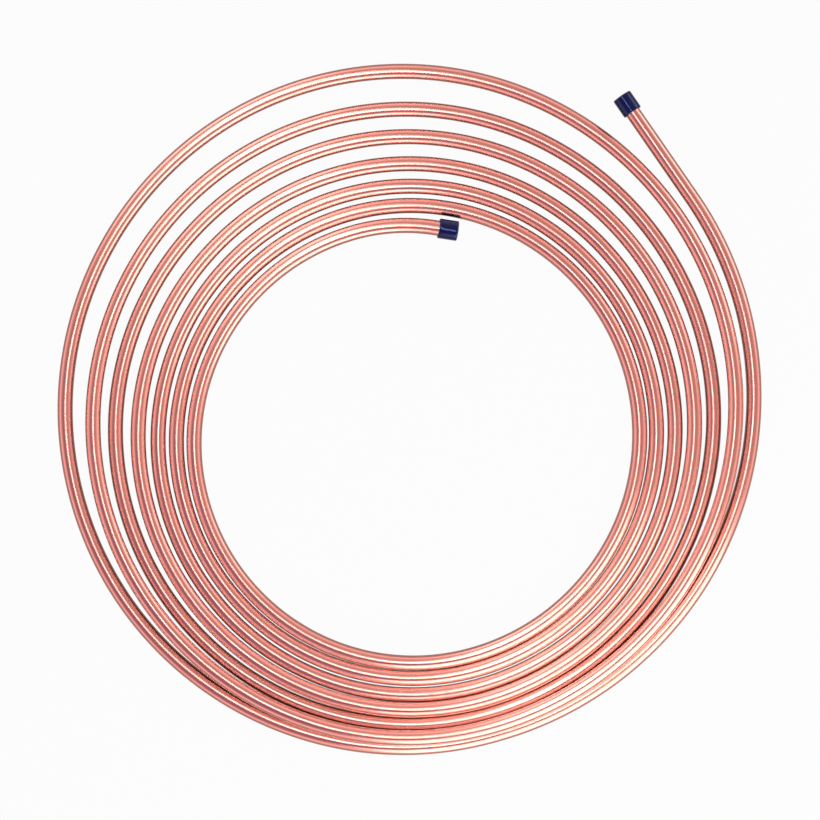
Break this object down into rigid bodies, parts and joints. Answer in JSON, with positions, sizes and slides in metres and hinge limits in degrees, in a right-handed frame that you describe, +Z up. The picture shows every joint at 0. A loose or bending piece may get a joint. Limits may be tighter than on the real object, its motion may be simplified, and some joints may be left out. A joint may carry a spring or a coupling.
{
  "type": "tubing coil",
  "caption": "Flat open coil of bare copper-nickel tube, bunched on one side and fanned out on the other, with a soft push-on cap closing each end.",
  "frame": {"origin": "on the floor, at the centre of the coil's first half turn, which is the middle of its eye", "axes": "+Z up, square to the flat of the coil; seen from above the tube runs anticlockwise from its inner end to its outer end, and the turns fan out towards a bearing of about 107 degrees from +X"},
  "size_m": [0.4392, 0.4314, 0.0171],
  "materials": {
    "copper_nickel": null,
    "blue_vinyl": "satin navy blue dip-moulded soft vinyl"
  },
  "bodies": {
    "root": {"tube_coil": "copper_nickel", "inner_end_cap": "blue_vinyl", "outer_end_cap": "blue_vinyl"}
  },
  "joints": []
}
